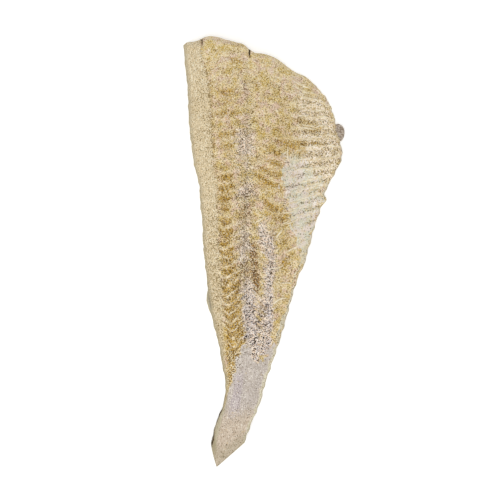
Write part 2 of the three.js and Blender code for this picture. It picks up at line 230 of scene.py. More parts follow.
# Strands that lie on their own: places as [across, along in the flakes].
SINGLE_STRANDS = [
    [[2.25, 0.449], [2.39, 0.432], [2.54, 0.41]],
    [[2.9, 0.465], [3.0, 0.451], [3.09, 0.439]],
    [[3.28, 0.521], [3.55, 0.52], [3.69, 0.521]],
    [[2.83, 0.545], [3.08, 0.551], [3.33, 0.553]],
    [[3.21, 0.646], [3.48, 0.641], [3.79, 0.648]],
    [[3.35, 0.596], [3.83, 0.61]],
    [[2.84, 0.23], [2.86, 0.25], [2.93, 0.262]],
]
STRAND_SIDES, STRAND_STEPS, STRAND_RADIUS, SINGLE_STRAND_SIZE = 6, 6, (0.45, 0.8), 1.5
RIB_FLAKES, STRANDS_PER_FLAKE = range(2, 17), 4
SALT_GRAINS, GRAIN_SIZE = 8000, (0.5, 1.15)
FIN_ALONG, FIN_OUT, FIN_HEIGHT, FIN_SIZE = 0.172, 0.5, 3.6, (14, 20, 5.5)
FIN_RAYS, FIN_RAY_GAP = 0.35, 2.6
# A flake's lip is painted lighter: partly its own paler flesh, partly a painted highlight where the raised
# lip catches light.
GOLD_IN_FLAKE, LIP_IN_FLAKE = 0.27, 0.82  # where in a flake's width it is most golden, and brightest
LIP_FROM = (0.55, 0.72)  # how much of the way up a lip starts, before and behind REAR
# Past this share of the length the tail is a smooth sheet: [across, along].
SMOOTH_FROM = [
    [0, 0.93], [0.3, 0.885], [0.8, 0.84], [1.3, 0.785],
    [2, 0.768], [2.5, 0.806], [3.4, 0.778], [4, 0.765],
]
SMOOTH_FRAY = 0.014

# What each share adds to how many pale crystals and dark pores show. The shares of lips, bands and gleams
# add painted highlight, and the bands painted shade in the flakes' hollows.
PALE_SPECKS = {
    "everywhere": 0.57, "strip": -0.12, "membrane": 0.35, "crust": 0.2, "marked": 0.1, "silver": -0.45,
    "smooth": -0.25, "gleams": 0.5, "membrane_lip": 0.35, "bands": 0.12, "patchy": 0.15, "amber": 0.3,
    "tail_gold": 0.3, "midline": 0.25, "head": 0.15,
}
DARK_SPECKS = {
    "everywhere": 0.5, "strip": -0.1, "membrane": 0.04, "crust": 0.15, "marked": 0.15, "silver": -0.45,
    "smooth": -0.37, "dashes": 0.6, "membrane_lip": -0.2, "bands": -0.1, "patchy": -0.15, "amber": 0.35,
    "tail_gold": 0.3, "bare_midline": 0.2, "seam": 0.4, "rear_strip": 0.25, "brown": 0.35, "tip": 0.25,
    "head_cut": -0.15,
}
# How bold the specks are: the strongest of these counts.
BOLDNESS = {
    "crust": 1, "silver": 0.4, "smooth": 0.5, "amber": 0.5, "brown": 0.4, "membrane": 0.4, "midline": 0.5,
    "flakes": 1,
}


# ---- Small functions on arrays ----
def mix(a, b, share):
    return a + (b - a) * share


def smoothstep(low, high, x):
    t = np.clip((x - low) / (high - low), 0, 1)
    return t * t * (3 - 2 * t)


def bell(x, centre, half):
    return np.exp(-(((x - centre) / half) ** 2))


def lobes(table, at):
    return sum(reach * bell(at, centre, half) for centre, reach, half in table)


def through(table, at, column=1):
    """A smooth curve through a table's rows, read at its first column."""
    table = np.asarray(table, float)
    x, y = table[:, 0], table[:, column]
    last = len(x) - 1
    i = np.clip(np.searchsorted(x, at, "left") - 1, 0, last - 1)
    before = np.maximum(np.arange(last + 1) - 1, 0)
    after = np.minimum(np.arange(last + 1) + 1, last)
    slope = (y[after] - y[before]) / (x[after] - x[before])
    span = x[i + 1] - x[i]
    t = np.clip((at - x[i]) / span, 0, 1)
    return (
        (2 * t**3 - 3 * t**2 + 1) * y[i]
        + (t**3 - 2 * t**2 + t) * slope[i] * span
        + (3 * t**2 - 2 * t**3) * y[i + 1]
        + (t**3 - t**2) * slope[i + 1] * span
    )


def lumps(x, y, size, seed):
    """Smooth random values from -1 to 1, in lumps of a size in millimetres, or of a pair of sizes."""
    size_x, size_y = size if isinstance(size, tuple) else (size, size)
    values = np.random.default_rng(seed).uniform(-1, 1, (512, 512))
    u, v = x / size_x + 1000.37, y / size_y + 1000.71
    i, j = np.floor(u).astype(int), np.floor(v).astype(int)
    s, t = smoothstep(0, 1, u - i), smoothstep(0, 1, v - j)

    def corner(di, dj):
        return values[(i + di) % 512, (j + dj) % 512]

    return mix(mix(corner(0, 0), corner(1, 0), s), mix(corner(0, 1), corner(1, 1), s), t)


def uneven(x, y, size):
    """The solid's own gentle unevenness."""
    u, v = 2 * np.pi * x / size, 2 * np.pi * y / size
    return (
        0.5 * np.sin(u + 0.7 * np.sin(0.6 * v + 1.1)) * np.cos(0.9 * v - 0.4)
        + 0.3 * np.sin(1.9 * v - 1.3 * u + 2.0)
        + 0.2 * np.sin(3.1 * u + 1.7 * v + 0.5)
    )


# ---- The plan ----
def lines_at(along):
    """x of the five lines."""
    back, middle, belly = (through(PLAN, along, column) for column in (1, 2, 3))
    fray = 0.5 * np.sin(along * 171) + 0.35 * np.sin(along * 293 + 1)
    seam = mix(back, middle, mix(*SEAM_SHARE, smoothstep(0, SEAM_SETTLES, along)))
    belly_edge = belly + fray + lobes(BELLY_LOBES, along)
    return np.stack([back - 0.5 * fray, seam, middle, mix(middle, belly, RIB_SHARE), belly_edge])


def plan_at(across, along):
    """x, y, the share of the width and the width at places from line 0 to 4 and from head 0 to tail 1."""
    lines = lines_at(along)
    line = np.clip(np.floor(across), 0, BELLY_EDGE - 1).astype(int)
    left = np.take_along_axis(lines, line[None], 0)[0]
    right = np.take_along_axis(lines, line[None] + 1, 0)[0]
    x = mix(left, right, across - line)
    width = lines[BELLY_EDGE] - lines[0]
    share = np.clip((x - lines[0]) / width, 0, 1)
    bow = HEAD_ARCH * np.sin(np.pi * share**HEAD_ARCH_SKEW) + lobes(HEAD_LOBES, share)
    before_point = (share / TAIL_POINT_AT) ** 0.7
    after_point = (1 - share) / (1 - TAIL_POINT_AT)
    y = (
        SHOULDER_Y
        - BACK_LENGTH * along
        - BELLY_DROP * share * (1 - along) ** 4
        + bow * (1 - smoothstep(0, HEAD_ARCH_END, along))
        - TAIL_POINT * np.minimum(before_point, after_point) * smoothstep(TAIL_POINT_START, 1, along)
    )
    return x, y, share, width


def along_in_flake(across, row_along):
    """The W of the flakes: how far along a place lies that its flake passes at row_along."""
    bend = np.clip(np.searchsorted(FLAKE_BENDS, across, "right") - 1, 0, len(FLAKE_BENDS) - 2)
    t = (across - FLAKE_BENDS[bend]) / (FLAKE_BENDS[bend + 1] - FLAKE_BENDS[bend])
    shifts = np.stack([through(BEND_SHIFTS, row_along, 1 + k) for k in range(len(FLAKE_BENDS))])
    before = np.take_along_axis(shifts, bend[None], 0)[0]
    after = np.take_along_axis(shifts, bend[None] + 1, 0)[0]
    softened = mix(t, smoothstep(0, 1, t), 0.5)
    return np.clip(row_along - mix(before, after, softened) / BACK_LENGTH, 0, 1)


def flakes_passed(row_along):
    """How many flakes lie nearer the head, with a share for the one that the place is in."""
    count = np.linspace(0, FLAKE_PLACES[-1][0], 1000)
    return np.interp(row_along, through(FLAKE_PLACES, count), count)


def drawn_in(across, along, width, inset):
    """The same place after the plan has shrunk by inset millimetres at every edge."""
    by_width, by_length = inset / width, inset / BACK_LENGTH
    drawn_across = mix(by_width, 1 - by_width, across / BELLY_EDGE) * BELLY_EDGE
    return drawn_across, mix(by_length, 1 - by_length, along)


def origin_of_plan():
    """Where the plan's zero lies in the row frame, from the outermost points of plan and solid."""
    along = np.linspace(0, 1, 2001)
    across = np.linspace(0, BELLY_EDGE, 801)
    low, high = CAD_BOX
    x = low.x / MM - lines_at(along)[0].min()
    y = high.y / MM - plan_at(across, np.zeros_like(across))[1].max()
    return np.array([x, y, 0.0])


ORIGIN = origin_of_plan()


# ---- Heights ----
def round_over(distance, radius):
    return np.sqrt(1 - (1 - np.clip(distance / radius, 0, 1)) ** 2)


def lift_at(across, along):
    """How high drying has lifted the skin off the surface."""
    tail = TAIL_CURL * smoothstep(0.8, 1.02, along) ** 1.5
    wave = 0.5 + 0.5 * np.sin(along * 27 + 0.8)
    flap = FLAP_WAVE * smoothstep(3.2, 4, across) * smoothstep(0.04, 0.14, along) * wave
    return tail + flap * (1 - smoothstep(0.7, 0.85, along))


def thickness_at(across, along):
    whole = LOIN_THICKNESS * through(THICKNESS_ALONG, along) * through(THICKNESS_ACROSS, across)
    return np.maximum(THINNEST, whole)


def flake_strength(across, along):
    by_width = smoothstep(0.55, SEAM, across) * mix(1, 0.5, smoothstep(MIDLINE, 3.2, across))
    by_length = mix(0.45, 1, smoothstep(0.08, 0.3, along)) * (1 - smoothstep(0.7, 0.79, along))
    return by_width * by_length * (1 - 0.45 * bell(across, MIDLINE, 0.12))


def flake_rise(share):
    """A flake's height from its hollow, 0, to its lip, 1, crumbled round."""
    up = 0.5 - 0.5 * np.cos(np.pi * share / FLAKE_LIP)
    down = 0.5 + 0.5 * np.cos(np.pi * (share - FLAKE_LIP) / (1 - FLAKE_LIP))
    return np.where(share < FLAKE_LIP, up, down)


def region(table, across, along, soft):
    """How much a place belongs to a finish: 0 to 1, soft at its sides."""
    table = np.asarray(table, float)
    left = np.interp(along, table[:, 0], table[:, 1])
    right = np.interp(along, table[:, 0], table[:, 2])
    strength = np.interp(along, table[:, 0], table[:, 3], left=0, right=0)
    return strength * smoothstep(-soft, soft, across - left) * smoothstep(-soft, soft, right - across)


def spots(table, across, along):
    """How much a place belongs to a table's single blotches."""
    return sum(v * bell(across, a, half_a) * bell(along, s, half_s) for a, s, half_a, half_s, v in table)


# ---- Making and filling meshes ----
def slab(name, columns, rows, layers):
    """A slab of cells: a grid whose whole face is drawn up in layers. Returns it with the column, row and
    layer of each of its points."""
    bpy.ops.object.select_all(action="DESELECT")
    bpy.ops.mesh.primitive_grid_add(x_subdivisions=columns, y_subdivisions=rows, size=1)
    piece = bpy.context.object
    piece.name = piece.data.name = name
    bpy.ops.object.mode_set(mode="EDIT")
    for _ in range(layers):
        bpy.ops.mesh.extrude_region_move(TRANSFORM_OT_translate={"value": (0, 0, 1)})
    bpy.ops.object.mode_set(mode="OBJECT")
    at = np.empty(len(piece.data.vertices) * 3, np.float32)
    piece.data.vertices.foreach_get("co", at)
    x, y, z = at.reshape(-1, 3).T
    column = np.rint((x + 0.5) * columns).astype(int)
    row = np.rint((0.5 - y) * rows).astype(int)
    return piece, column, row, np.rint(z).astype(int)


def place_points(piece, x, y, z):
    """Puts a mesh's points at millimetres of the plan."""
    at = (np.stack([x, y, z], 1) + ORIGIN) * MM
    piece.data.vertices.foreach_set("co", at.astype(np.float32).ravel())
    piece.data.update()


def paint(piece, **shares):
    """Stores values from 0 to 1 on a mesh's points, for its material to read."""
    for name, values in shares.items():
        made = piece.data.attributes.new(name, "FLOAT", "POINT")
        made.data.foreach_set("value", np.clip(values, 0, 1).astype(np.float32))


def select_alone(piece):
    bpy.ops.object.select_all(action="DESELECT")
    piece.select_set(True)
    bpy.context.view_layer.objects.active = piece


def with_nothing_selected(piece, mode):
    """Selects one piece alone, and nothing in it."""
    select_alone(piece)
    bpy.ops.object.mode_set(mode="EDIT")
    bpy.ops.mesh.select_mode(type=mode)
    bpy.ops.mesh.select_all(action="DESELECT")
    bpy.ops.object.mode_set(mode="OBJECT")


def finished(piece, material, replaces=True, smooth=True):
    """Smooths a piece, gives it its finish and lets it ride on the fish."""
    select_alone(piece)
    if smooth:
        bpy.ops.object.shade_smooth()
    piece.data.materials.clear()
    piece.data.materials.append(material)
    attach(piece, "root")
    if replaces:
        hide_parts("cod_side")


# ---- Materials ----
def colour(code):
    """An sRGB hex value as linear RGBA."""
    parts = [int(code[i : i + 2], 16) / 255 for i in (1, 3, 5)]
    return [c / 12.92 if c <= 0.04045 else ((c + 0.055) / 1.055) ** 2.4 for c in parts] + [1.0]


def add(tree, kind, sockets=None, **settings):
    """Adds a node: settings are its properties, sockets what its inputs are fed by or set to, with colours
    as sRGB hex values."""
    made = tree.nodes.new(kind)
    for name, value in settings.items():
        setattr(made, name, value)
    for key, value in (sockets or {}).items():
        if isinstance(value, bpy.types.NodeSocket):
            tree.links.new(value, made.inputs[key])
        else:
            made.inputs[key].default_value = colour(value) if isinstance(value, str) else value
    return made


FACTOR, FIRST, SECOND, MIXED = 0, 6, 7, 2  # where a Mix node has the sockets that mix colours


def pattern(tree, place, grain_mm, detail=2.0, roughness=0.5, stretch=(1, 1, 1), shift=0.0):
    """Noise whose lumps are grain_mm across, from about 0.25 to 0.75."""
    scale = [1 / (MM * grain_mm * s) for s in stretch]
    mapped = add(tree, "ShaderNodeMapping", {"Vector": place, "Scale": scale, "Location": [shift] * 3})
    return add(
        tree,
        "ShaderNodeTexNoise",
        {"Vector": mapped.outputs[0], "Scale": 1.0, "Detail": detail, "Roughness": roughness},
    ).outputs["Fac"]


def two_toned(tree, grain, low, high, first, second, most=1.0, how="MIX"):
    """A colour that turns from first to second, or is multiplied or screened by it, as a grain rises from
    low to high."""
    turned = add(
        tree,
        "ShaderNodeMapRange",
        {"Value": grain, "From Min": low, "From Max": high, "To Min": 0.0, "To Max": most},
        interpolation_type="SMOOTHSTEP",
    )
    sockets = {FACTOR: turned.outputs[0], FIRST: first, SECOND: second}
    return add(tree, "ShaderNodeMix", sockets, data_type="RGBA", blend_type=how).outputs[MIXED]


def covered(tree, under, name, over):
    """A colour over another, as much of it as the share that the mesh's points carry."""
    carried = add(tree, "ShaderNodeAttribute", attribute_name=name)
    sockets = {FACTOR: carried.outputs["Fac"], FIRST: under, SECOND: over}
    return add(tree, "ShaderNodeMix", sockets, data_type="RGBA").outputs[MIXED]


def patched(tree, under, name, over, grain, spread):
    """A colour over another in patches that break up along a grain: none where the share that the mesh's
    points carry is 0, and closed where it is 1."""
    room = 0.3 * spread - 0.2
    carried = add(tree, "ShaderNodeAttribute", attribute_name=name).outputs["Fac"]
    widened = add(tree, "ShaderNodeMath", {0: carried, 1: 1 + 2 * room, 2: -room}, operation="MULTIPLY_ADD")
    offset = add(tree, "ShaderNodeMath", {0: grain, 1: spread, 2: -spread / 2}, operation="MULTIPLY_ADD")
    both = add(tree, "ShaderNodeMath", {0: widened.outputs[0], 1: offset.outputs[0]}, operation="ADD")
    return two_toned(tree, both.outputs[0], 0.25, 0.75, under, over)


def new_material(name, values):
    """A material with one shader, whose sockets have these values. Also returns its tree, that shader and
    the place in the piece, which patterns are laid out by."""
    material = bpy.data.materials.new(name)
    material.use_nodes = True
    tree = material.node_tree
    tree.nodes.clear()
    shader = add(tree, "ShaderNodeBsdfPrincipled", values)
    add(tree, "ShaderNodeOutputMaterial", {"Surface": shader.outputs[0]})
    place = add(tree, "ShaderNodeTexCoord").outputs["Object"]
    return material, tree, shader, place


def dried_flesh_material():
    """Salted, air-dried cod muscle: bleached cream, browned to gold where its oil has come out, and pale
    where salt has crusted. Matt, and speckled at the size of its fibres and salt grains."""
    matt = {"Roughness": 0.72, "IOR": 1.45, "Specular IOR Level": 0.3}
    material, tree, shader, place = new_material("salted_dried_cod_muscle", matt)
    fine = pattern(tree, place, 1.1, 0.0)
    sharp = pattern(tree, place, 1.15, 0.0, shift=7.3)
    crystals = pattern(tree, place, 1.25, 0.0, shift=8.8)
    pores = pattern(tree, place, 1.25, 0.0, shift=6.1)
    border = pattern(tree, place, 1.7, 2.0, shift=2.6)
    mottle = pattern(tree, place, 3.4, 2.0, shift=1.9)
    patches = pattern(tree, place, 9.0, 2.0, shift=3.1)
    strokes = pattern(tree, place, 1.2, 0.0, stretch=(1, 3.0, 1), shift=5.7)
    layers = pattern(tree, place, 1.3, 1.0, stretch=(4, 4, 1), shift=0.7)

    flesh = two_toned(tree, mottle, 0.38, 0.62, "#d0b47f", "#e3cc9c")
    flesh = two_toned(tree, patches, 0.5, 0.64, flesh, "#dcbea3")
    flesh = two_toned(tree, patches, 0.48, 0.36, flesh, "#cfb269")
    # Each finish: the share that the points carry, how far its border breaks up, its grain, its colours.
    finishes = (
        ("strip", 1.3, strokes, "#c9b58f", "#e1ceaa"),
        ("membrane", 1.3, mottle, "#dcc49c", "#f8e5ce"),
        ("gold", 0.9, strokes, "#a17c32", "#c8a148"),
        ("amber", 1.0, strokes, "#8c5c1c", "#c69548"),
        ("silver", 0.9, patches, "#d5d1bc", "#e3d5c8"),
        ("smooth", 0.9, strokes, "#bcb0a4", "#ccc1b8"),
        ("lilac", 1.3, strokes, "#b5a8a6", "#c8bcb9"),
        ("salt", 1.3, mottle, "#e3c8ae", "#f8e2cb"),
        ("tip", 0.9, strokes, "#c0ad97", "#d4c3af"),
        ("cream", 1.3, strokes, "#cdc3a6", "#ddd4bd"),
        ("pale", 1.0, layers, "#c9b68c", "#e6dabc"),
    )
    for name, spread, grain, dark, light in finishes:
        tone = two_toned(tree, grain, 0.4, 0.6, dark, light)
        flesh = patched(tree, flesh, name, tone, border, spread)
    # Light cream on the flakes' lips: partly their own paler flesh, partly a painted highlight on the raised
    # lips.
    flesh = patched(tree, flesh, "lip", "#e3cda6", border, 1.4)

    # Pale crystals and dark pores, which also stand for painted highlight on the flakes' lips and in the
    # silverskin's gleams and for painted shade in the flakes' hollows: the more of them the points ask for,
    # the lower the noise that shows one, and where they are bold they are also larger.
    specks = (
        ("pale_specks", fine, crystals, "SCREEN", "#b4b09a", "#dacdbc"),
        ("dark_specks", sharp, pores, "MULTIPLY", "#afa282", "#2d1f0a"),
    )
    bold = add(tree, "ShaderNodeAttribute", attribute_name="bold").outputs["Fac"]
    steps = {"Value": bold, "From Min": 0.55, "From Max": 0.85}
    coarse = add(tree, "ShaderNodeMapRange", steps, interpolation_type="SMOOTHSTEP").outputs[0]
    for name, small, large, how, faint_tone, bold_tone in specks:
        larger = add(tree, "ShaderNodeMath", {0: large, 1: small}, operation="SUBTRACT").outputs[0]
        grain = add(tree, "ShaderNodeMath", {0: larger, 1: coarse, 2: small}, operation="MULTIPLY_ADD")
        asked = add(tree, "ShaderNodeAttribute", attribute_name=name).outputs["Fac"]
        sockets = {0: asked, 1: 0.3, 2: grain.outputs[0]}
        level = add(tree, "ShaderNodeMath", sockets, operation="MULTIPLY_ADD").outputs[0]
        tone = covered(tree, faint_tone, "bold", bold_tone)
        flesh = two_toned(tree, level, 0.74, 0.79, flesh, tone, how=how)
    # Painted shade: darker grey-olive along the back edge, and less along the belly edge, where the flesh
    # rounds down; darker also over the tail's tip.
    flesh = covered(tree, flesh, "rim", "#a99d80")
    # Dark brown: dark in itself on the silverskin's dashes and the tail's torn edge, and painted shade in
    # the pits and the cracks' floors.
    flesh = patched(tree, flesh, "dark", "#4d3b24", fine, 1.6)

    tree.links.new(flesh, shader.inputs["Base Color"])
    fibres = add(tree, "ShaderNodeMath", {0: fine, 1: strokes}, operation="ADD").outputs[0]
    bump = add(tree, "ShaderNodeBump", {"Height": fibres, "Strength": 0.8, "Distance": 0.6 * MM})
    tree.links.new(bump.outputs[0], shader.inputs["Normal"])
    return material


def salt_crystal_material():
    """Coarse sea salt, dried on: cloudy off-white grains that are a little glossy on their faces."""
    material, tree, shader, place = new_material("coarse_sea_salt", {"Roughness": 0.4, "IOR": 1.54})
    cloud = pattern(tree, place, 2.5, 1.0)
    creamy = two_toned(tree, cloud, 0.42, 0.58, "#cfb98c", "#ecdcb0")
    clean = two_toned(tree, cloud, 0.42, 0.58, "#cfc2bb", "#efe8e6")
    tree.links.new(covered(tree, creamy, "crusted", clean), shader.inputs["Base Color"])
    return material


def membrane_material():
    """Dried belly lining and nerve strands: thin, cream and slightly glossy."""
    material, tree, shader, place = new_material("dried_membrane", {"Roughness": 0.55, "IOR": 1.45})
    tone = two_toned(tree, pattern(tree, place, 4.0), 0.4, 0.6, "#e4d5b2", "#f4ead2")
    tree.links.new(tone, shader.inputs["Base Color"])
    return material


def fin_material():
    """The dried stub of a fin: grey-brown skin over fine rays, dusty with salt."""
    material, tree, shader, place = new_material("dried_fin_skin", {"Roughness": 0.65, "IOR": 1.45})
    tone = two_toned(tree, pattern(tree, place, 3.0, 2.0), 0.4, 0.6, "#8a7865", "#b9ab99")
    dust = pattern(tree, place, 1.2, 1.0)
    tone = two_toned(tree, dust, 0.55, 0.64, tone, "#d9cfc6", most=0.7)
    tree.links.new(tone, shader.inputs["Base Color"])
    return material


def scaled_skin_material():
    """Dried cod skin: dull olive grey with paler blotches and fine overlapping scales, and a pale lateral
    line; its torn edge is dark."""
    material, tree, shader, place = new_material("dried_cod_skin", {"Roughness": 0.5, "IOR": 1.5})
    blotches = pattern(tree, place, 11.0, 3.0, 0.6)
    freckles = pattern(tree, place, 2.6, 2.0, 0.6, shift=4.4)
    skin = two_toned(tree, blotches, 0.4, 0.62, "#5f584a", "#8d8570")
    skin = two_toned(tree, freckles, 0.5, 0.66, skin, "#a79f8b")
    belly = two_toned(tree, blotches, 0.4, 0.62, "#b5ac97", "#d3cbb9")
    skin = patched(tree, skin, "pale", belly, freckles, 1.2)
    skin = covered(tree, skin, "line", "#d3ccb8")
    skin = covered(tree, skin, "edge", "#cbbf9f")
    skin = covered(tree, skin, "dark", "#3d2f24")
    tree.links.new(skin, shader.inputs["Base Color"])
    per_scale = [1 / (size * MM) for size in SCALE_SIZE]
    mapped = add(tree, "ShaderNodeMapping", {"Vector": place, "Scale": per_scale})
    scales = add(tree, "ShaderNodeTexVoronoi", {"Vector": mapped.outputs[0], "Scale": 1.0}, feature="F1")
    height = scales.outputs["Distance"]
    bump = add(tree, "ShaderNodeBump", {"Height": height, "Strength": 0.5, "Distance": 0.3 * MM})
    tree.links.new(bump.outputs[0], shader.inputs["Normal"])
    return material


def floor_material():
    """Opal acrylic of a light table: matt white, and faintly lit from below so that no shadow shows."""
    lit = {"Emission Color": (1, 1, 1, 1), "Emission Strength": 0.3}
    return new_material("opal_acrylic", {"Base Color": "#f8f8f8", "Roughness": 0.9, **lit})[0]


# ---- The flesh ----
def flesh_columns():
    parts = [np.linspace(k, k + 1, n, endpoint=False) for k, n in enumerate(FLESH_COLUMNS)]
    return np.concatenate([*parts, [BELLY_EDGE]])


def flesh_rows():
    """Places of the rows along the fish, closer together where its flakes are narrow."""
    along = np.linspace(0, 1, 2001)
    density = through(ROW_DENSITY, along)
    passed = np.concatenate([[0], np.cumsum((density[1:] + density[:-1]) / 2)])
    return np.interp(np.linspace(0, 1, FLESH_ROWS + 1), passed / passed[-1], along)


def opened(x, y, across, along, top):
    """Cracks: flesh near one is pushed aside, and the point on it drops to its floor."""
    for line, length, half_mouth, floor in CRACKS:
        wander = CRACK_WANDER * lumps(x * 0, y, 5, 61)
        depth = np.sqrt(np.clip(1 - along * BACK_LENGTH / length, 0, 1))
        away = x - lines_at(along)[line]
        near = np.clip(1 - np.abs(away) / CRACK_REACH, 0, 1)
        x = x + (np.sign(away) * half_mouth * depth + wander * (depth > 0)) * near
        top = np.where(across == line, mix(top, np.minimum(top, floor), depth), top)
    return x, top


def swing(in_flake, crest):
    """1 at the crest of a flake's width and 0 half a flake away."""
    return 0.5 + 0.5 * np.cos(2 * np.pi * (in_flake - crest))


def flakes_at(x, y, across, along, row_along):
    """The flakes: they wander by a millimetre, and each is gold or bright in its own way."""
    wander = 1.1 * lumps(x, y, 8, 11) + 0.9 * lumps(x, y, 3.2, 12)
    passed = flakes_passed(row_along + wander / BACK_LENGTH)
    in_flake = passed % 1
    rear = smoothstep(*REAR, along)
    margin = smoothstep(2.8, 3.1, across) * smoothstep(*MARGIN_STARTS, along)
    marked = flake_strength(across, np.minimum(along, MARKS_FULL_TO)) * (1 - smoothstep(*MARKS_END, along))
    marked = marked * mix(0.6, 1, smoothstep(*MARKS_GROW, along))
    marked = marked * np.interp(across, *MARKS_ACROSS) * (1 - 0.75 * margin)
    return SimpleNamespace(
        share=in_flake,
        own=lumps(x, 10 * np.floor(passed), (16, 9.7), 13),
        strength=flake_strength(across, along),
        marked=marked,
        margin=margin,
        rear=rear,
        hollow=smoothstep(0.1, 0.9, swing(in_flake, GOLD_IN_FLAKE)),
        lip=smoothstep(mix(*LIP_FROM, rear), 1, swing(in_flake, LIP_IN_FLAKE)),
    )


def finishes_at(at, flake):
    """How much of each finish lies at a place, with borders frayed by noise."""
    x, y, across, along = at.x, at.y, at.across, at.along
    frayed = SMOOTH_FRAY * lumps(x, y, 7, 14) + SMOOTH_FRAY * lumps(x, y, 3, 15)
    smooth = smoothstep(-0.008, 0.008, at.row_along + frayed - through(SMOOTH_FROM, across))
    ragged = across + 0.16 * lumps(x, at.down_rows, (9, 2.4), 53)
    wavy = across + 0.12 * lumps(x, y, 6, 48) + 0.08 * lumps(x, y, 2.5, 50)
    salt = region(SALT_BAND, ragged, along, soft=0.2)
    salt = np.maximum(salt, region(SALT_STREAM, ragged, along, soft=0.2))
    salt = np.maximum(salt, region(SALT_HATCH, across, along, soft=0.15) * mix(1, 0.45, flake.hollow))
    salt = salt * mix(1, 0.8 + 0.4 * lumps(x, y, 11, 16), 1 - smoothstep(*SALT_EVENS, along))
    gold = region(GOLD_LOIN, across, along, soft=0.2)
    gold = np.maximum(gold, region(GOLD_BELLY, across, along, soft=0.25))
    in_hollows = mix(mix(0.68, 1, flake.rear), 1, flake.hollow) * (0.87 + 0.5 * flake.own)
    in_hollows = mix(in_hollows, 0.85, smoothstep(0.76, 0.8, along))
    blotches = spots(GOLD_SPOTS, across, along)
    return SimpleNamespace(
        smooth=smooth,
        salt=salt,
        crust=salt * (1 - smooth) + spots(LILAC_SPOTS, across, along),
        silver=region(SILVER, wavy, along, soft=0.08),
        gold=gold * mix(in_hollows, 0.8, flake.margin) + blotches + 0.15 * smoothstep(0.955, 0.98, along),
        blotches=blotches,
        amber=np.maximum(region(AMBER, across, along, soft=0.14), spots(AMBER_SPOTS, across, along)),
        brown=region(BROWN, ragged, along, soft=0.15) * (1 - salt),
        strip=region(STRIP, across, along, soft=0.25),
        membrane=region(RIB_MEMBRANE, across, along, soft=0.25),
    )


def heights_at(at, flake, laid):
    """Where the flesh's face stands, as x and height, its lift, and where its pits and cracks are."""
    x, y, across, along = at.x, at.y, at.across, at.along
    rim = np.minimum.reduce(
        [
            round_over(along * BACK_LENGTH, ROUND_HEAD),
            round_over((1 - along) * BACK_LENGTH, ROUND_SIDE),
            round_over(np.minimum(at.from_left, at.from_right), ROUND_SIDE),
        ]
    )
    fading = 1 - smoothstep(*GROOVES_END, along)
    grooves = (SEAM_DEPTH * bell(across, SEAM, 0.1) + MIDLINE_DEPTH * bell(across, MIDLINE, 0.08)) * fading
    relief = FLAKE_RELIEF * (flake_rise(flake.share) - 0.5) * flake.strength * (1 + 0.3 * uneven(x, y, 31))
    calm = mix(1, 0.3, np.maximum.reduce([laid.smooth, 0.85 * laid.silver, 0.6 * laid.strip]))
    crumbs = CRUMBS * lumps(x, y, 2.3, 32) + SMALL_CRUMBS * lumps(x, y, 1.5, 33)
    crumbs = crumbs + LIP_CRUMBS * flake.lip * flake.strength * lumps(x, y, 2.4, 37)
    pitted = np.maximum(laid.crust, 0.35 * laid.gold * flake.hollow)
    pits = smoothstep(0.3, 0.7, lumps(x, y, 1.9, 35)) * pitted
    body = (
        thickness_at(across, along)
        - grooves
        + relief
        + UNEVENNESS * uneven(x, y, 46)
        + (FIBRES * lumps(x, y, (1.7, 8), 31) + crumbs) * calm
        + laid.crust * (CRUST_HEIGHT + CRUST_CRUMBS * lumps(x, y, 2.0, 34))
        + WRINKLES * laid.strip * lumps(x + 0.2 * y, y, (2.4, 20), 38)
        - PIT_DEPTH * pits
    ) * mix(RIM_SHARE, 1, rim)
    lift = lift_at(across, along)
    x, top = opened(x, y, across, along, lift + body)
    return x, top, lift, pits, top < lift + 0.5 * body


def weighed(weights, shares):
    """The sum of the shares that a table names, each by its weight."""
    return sum(weight * shares[name] for name, weight in weights.items())


